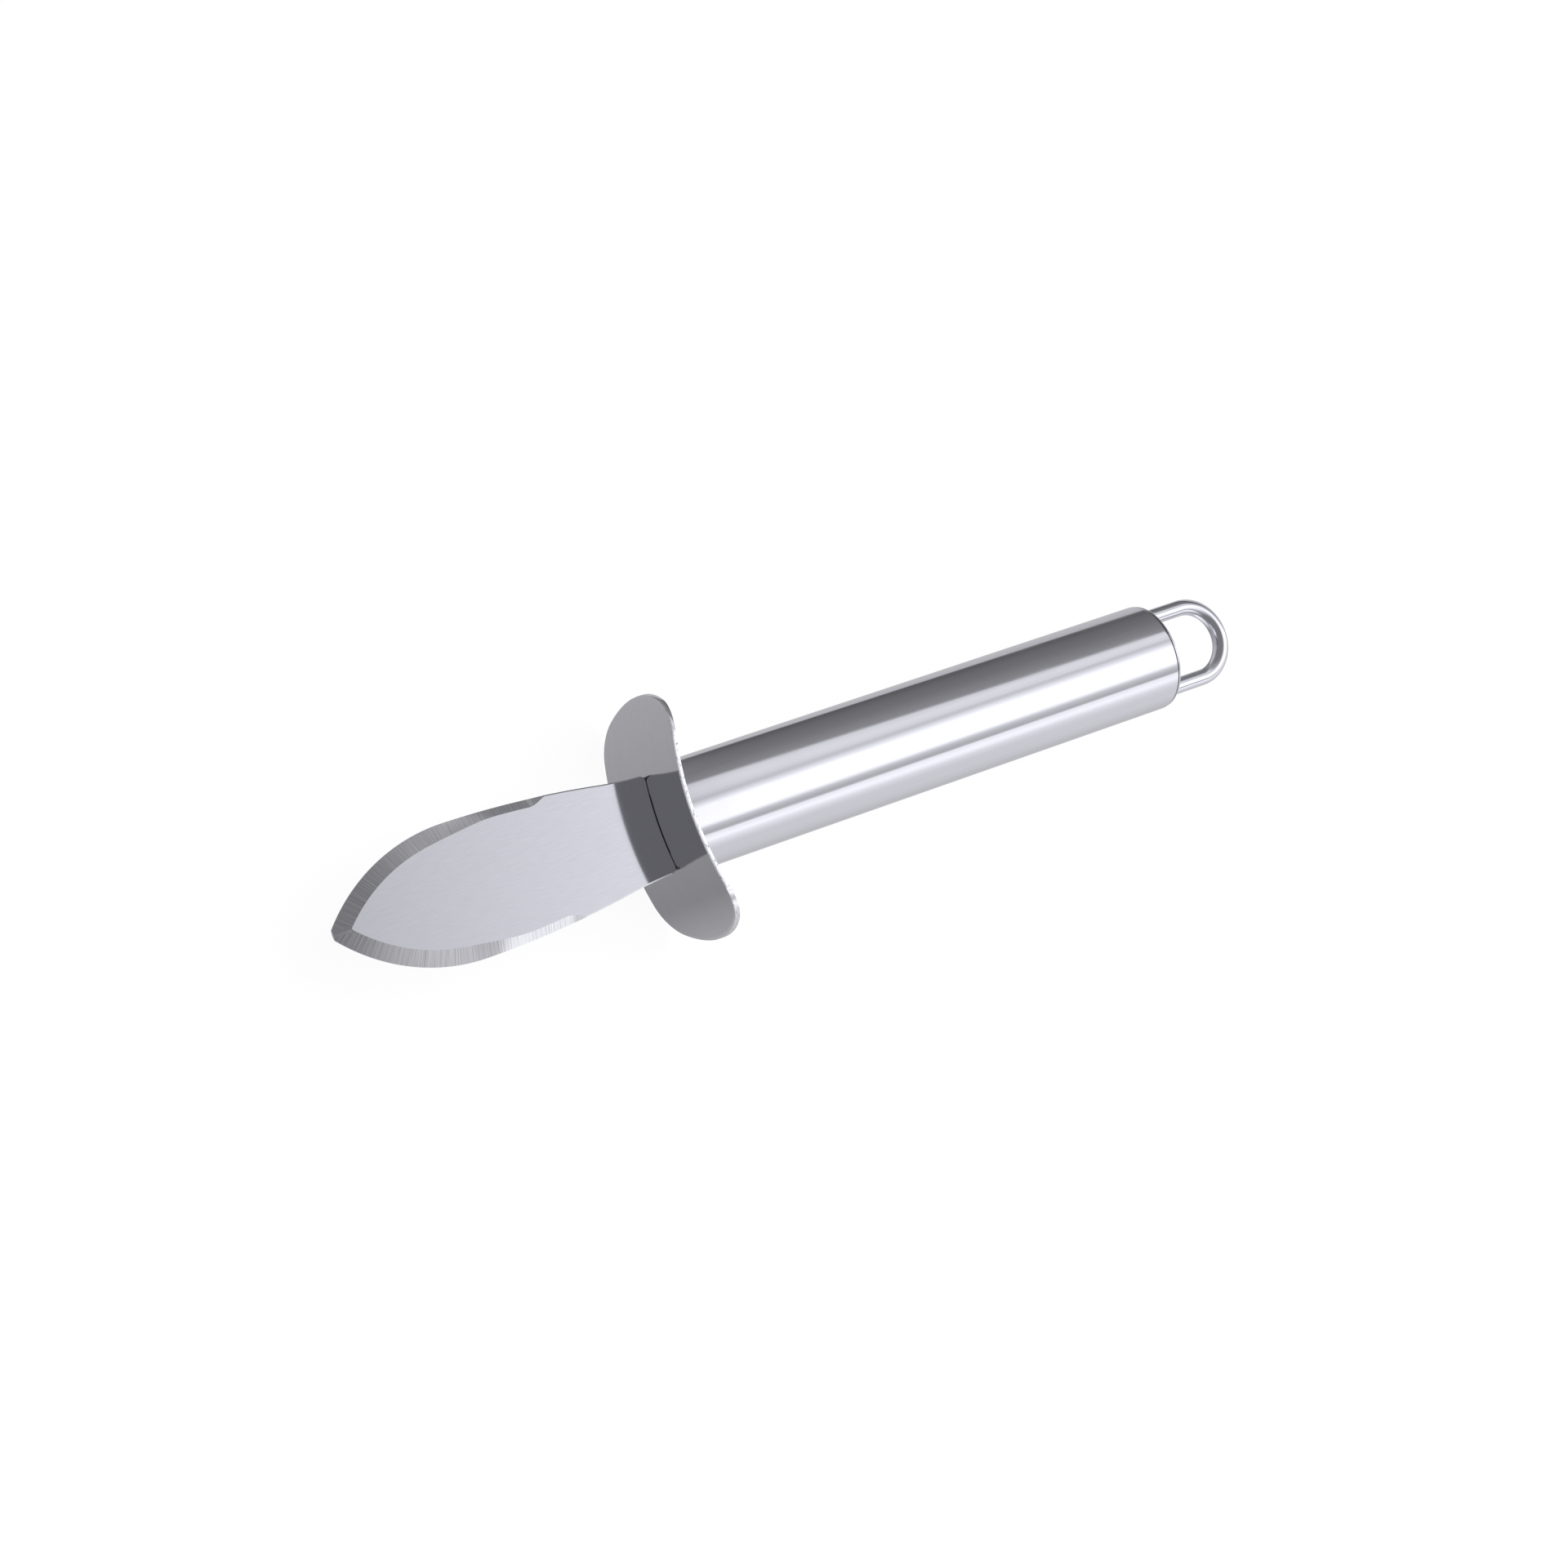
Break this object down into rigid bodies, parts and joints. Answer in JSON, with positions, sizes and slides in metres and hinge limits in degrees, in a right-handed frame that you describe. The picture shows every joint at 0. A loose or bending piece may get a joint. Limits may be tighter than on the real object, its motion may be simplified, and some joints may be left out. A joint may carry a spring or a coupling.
{
  "type": "oyster knife",
  "caption": "All-steel oyster knife: short leaf-shaped blade with a ground bevel, bent oval guard, round tube handle and a wire hanging loop.",
  "frame": {"origin": "mid length, under the knife's axis, on the surface that the guard's lower edge stands on", "axes": "+X along the knife from the blade's tip to the hanging loop, +Y across the blade's width, +Z out of the blade's upper flat"},
  "size_m": [0.1912, 0.0446, 0.028],
  "materials": {
    "blade_steel": "satin along the flat, ground across the bevel",
    "guard_steel": "mirror polished, bright edge",
    "inner_steel": "turned, hidden",
    "weld_metal": "as welded, hidden",
    "handle_steel": "polished along its length",
    "cap_steel": "polished, rounded rim",
    "wire_steel": "drawn and polished wire"
  },
  "bodies": {
    "root": {"blade": "blade_steel", "guard": "guard_steel", "front_plug": "inner_steel", "tang_weld": "weld_metal", "handle_tube": "handle_steel", "rear_cap": "cap_steel", "hanging_loop": "wire_steel", "loop_welds": "weld_metal"}
  },
  "joints": []
}
